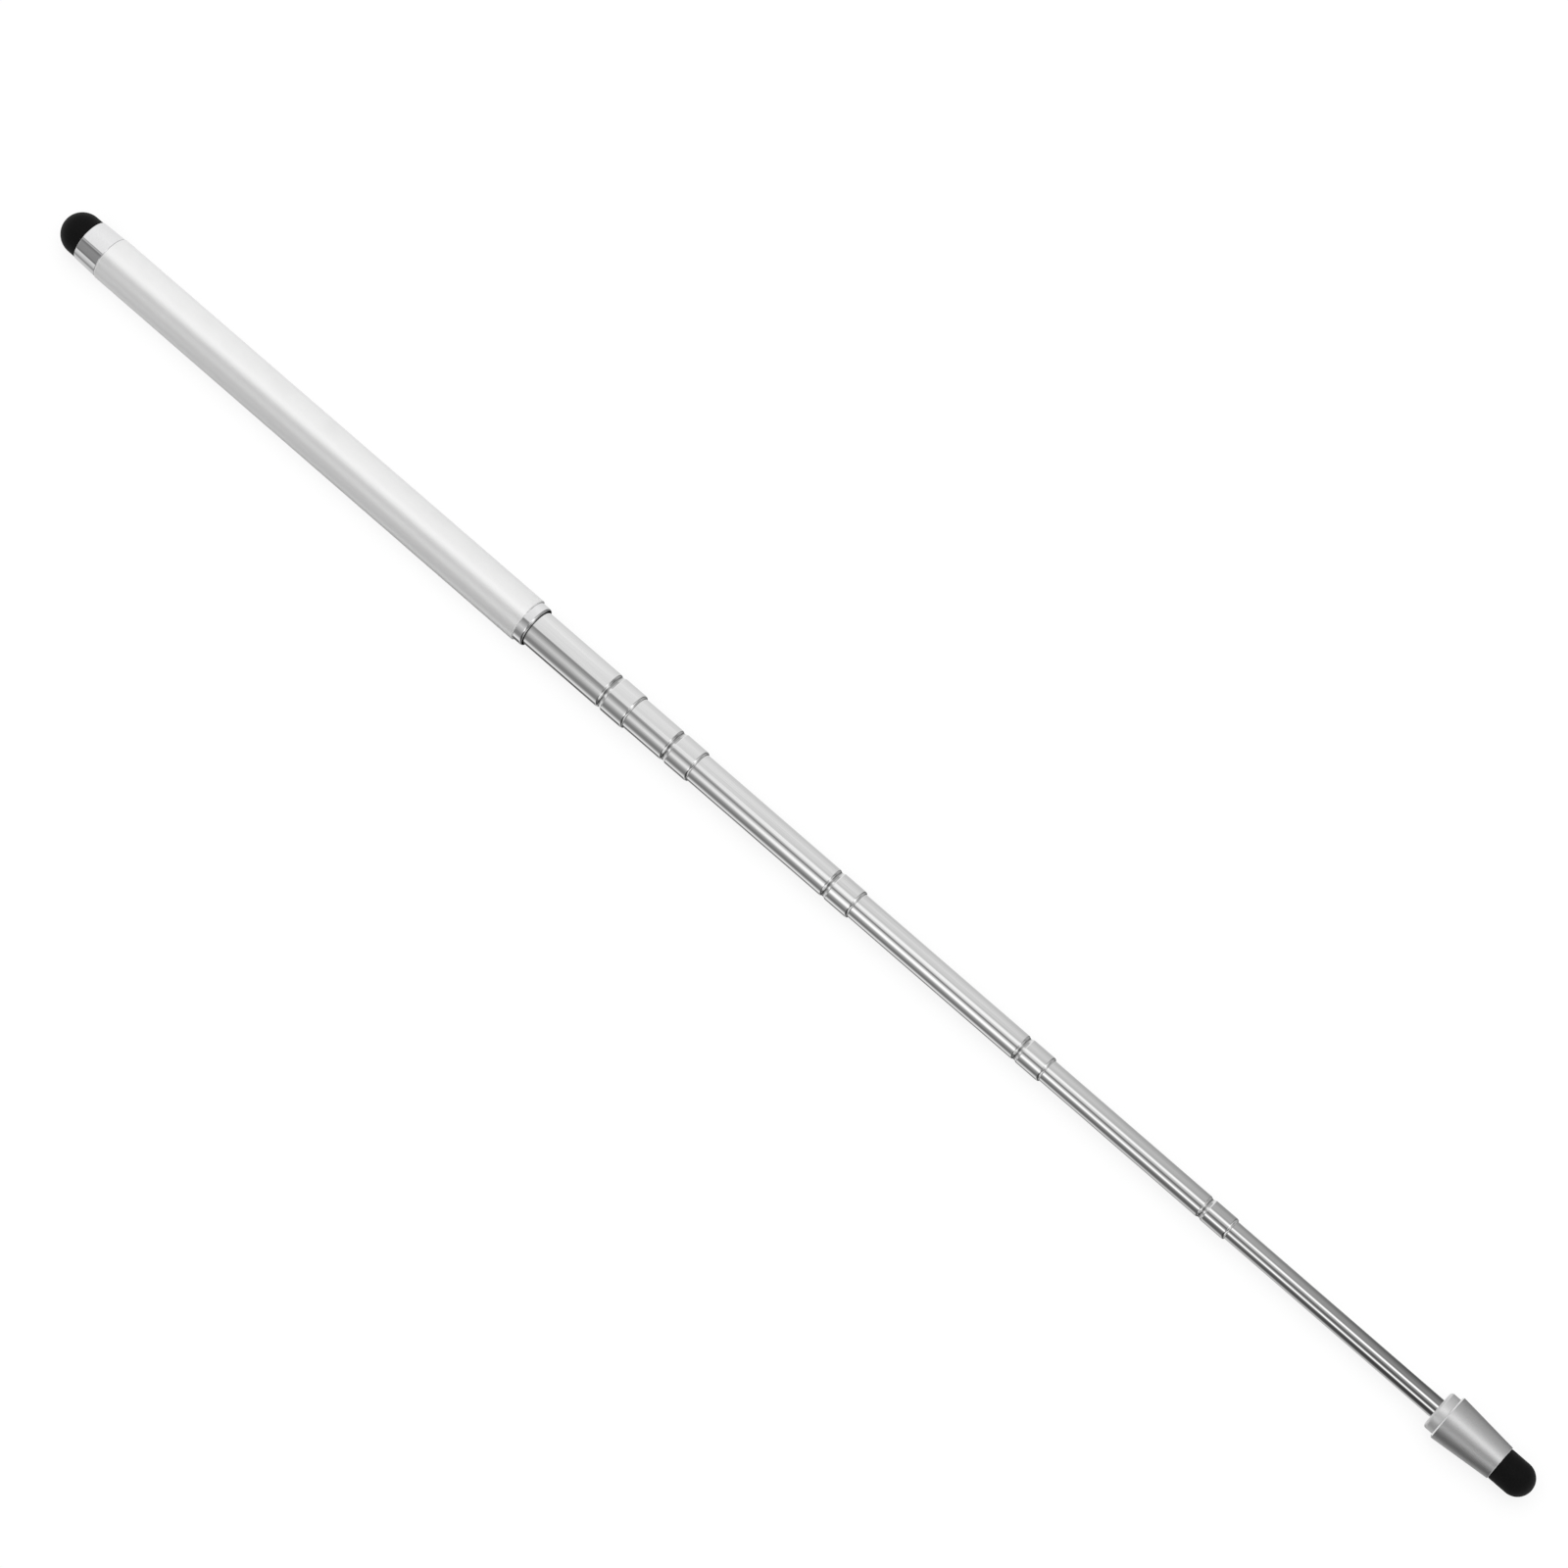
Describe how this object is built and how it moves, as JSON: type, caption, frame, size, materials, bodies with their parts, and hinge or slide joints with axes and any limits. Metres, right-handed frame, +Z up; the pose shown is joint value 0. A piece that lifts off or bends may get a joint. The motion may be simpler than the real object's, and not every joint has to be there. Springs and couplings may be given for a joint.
{
  "type": "telescopic pointer pen",
  "caption": "Pen-shaped telescopic pointer with a pearl-white barrel, nested crimped steel tubes that slide out, and a soft rubber touch tip at each end.",
  "frame": {"origin": "on the surface the pen lies on, under the middle of its length as drawn out", "axes": "+X along the pen towards its nose, +Z up from the surface it lies on"},
  "size_m": [0.3522, 0.009, 0.009],
  "materials": {
    "pearl_white": "satin pearl paint",
    "chrome": "mirror plated",
    "stainless": "polished drawn tube",
    "blasted_aluminium": "fine bead-blasted",
    "turned_aluminium": "turned satin",
    "black_rubber": "matte",
    "brass": "turned",
    "spring_bronze": "rolled strip",
    "bush_plastic": "moulded"
  },
  "bodies": {
    "handle": {"tail_tip": "black_rubber", "tail_stud": "brass", "tail_ring": "chrome", "tail_plug": "brass", "barrel": "pearl_white", "guide_bush": "bush_plastic", "mouth_ring": "chrome"},
    "slider_1": {"friction_sleeve_1": "spring_bronze"},
    "section_1": {"tube_1": "stainless"},
    "slider_2": {"friction_sleeve_2": "spring_bronze"},
    "section_2": {"tube_2": "stainless"},
    "slider_3": {"friction_sleeve_3": "spring_bronze"},
    "section_3": {"tube_3": "stainless"},
    "slider_4": {"friction_sleeve_4": "spring_bronze"},
    "section_4": {"tube_4": "stainless"},
    "slider_5": {"friction_sleeve_5": "spring_bronze"},
    "section_5": {"tube_5": "stainless"},
    "slider_6": {"friction_sleeve_6": "spring_bronze"},
    "section_6": {"tip_rod": "stainless", "nose_collar": "turned_aluminium", "nose_cone": "blasted_aluminium", "nose_stud": "brass", "nose_tip": "black_rubber"}
  },
  "joints": [
    {"name": "slide_1", "type": "slide", "parent": "handle", "child": "slider_1", "axis": [1, 0, 0], "range_m": [-0.02635, 0.0511]},
    {"name": "turn_1", "type": "hinge", "parent": "slider_1", "child": "section_1", "pos_m": [0, 0, 0.0045], "axis": [1, 0, 0], "continuous": true},
    {"name": "slide_2", "type": "slide", "parent": "section_1", "child": "slider_2", "axis": [1, 0, 0], "range_m": [-0.0153, 0.06455]},
    {"name": "turn_2", "type": "hinge", "parent": "slider_2", "child": "section_2", "pos_m": [0, 0, 0.0045], "axis": [1, 0, 0], "continuous": true},
    {"name": "slide_3", "type": "slide", "parent": "section_2", "child": "slider_3", "axis": [1, 0, 0], "range_m": [-0.0383, 0.04155]},
    {"name": "turn_3", "type": "hinge", "parent": "slider_3", "child": "section_3", "pos_m": [0, 0, 0.0045], "axis": [1, 0, 0], "continuous": true},
    {"name": "slide_4", "type": "slide", "parent": "section_3", "child": "slider_4", "axis": [1, 0, 0], "range_m": [-0.045, 0.03485]},
    {"name": "turn_4", "type": "hinge", "parent": "slider_4", "child": "section_4", "pos_m": [0, 0, 0.0045], "axis": [1, 0, 0], "continuous": true},
    {"name": "slide_5", "type": "slide", "parent": "section_4", "child": "slider_5", "axis": [1, 0, 0], "range_m": [-0.0427, 0.03715]},
    {"name": "turn_5", "type": "hinge", "parent": "slider_5", "child": "section_5", "pos_m": [0, 0, 0.0045], "axis": [1, 0, 0], "continuous": true},
    {"name": "slide_6", "type": "slide", "parent": "section_5", "child": "slider_6", "axis": [1, 0, 0], "range_m": [-0.0468, 0.03285]},
    {"name": "turn_6", "type": "hinge", "parent": "slider_6", "child": "section_6", "pos_m": [0, 0, 0.0045], "axis": [1, 0, 0], "continuous": true}
  ]
}
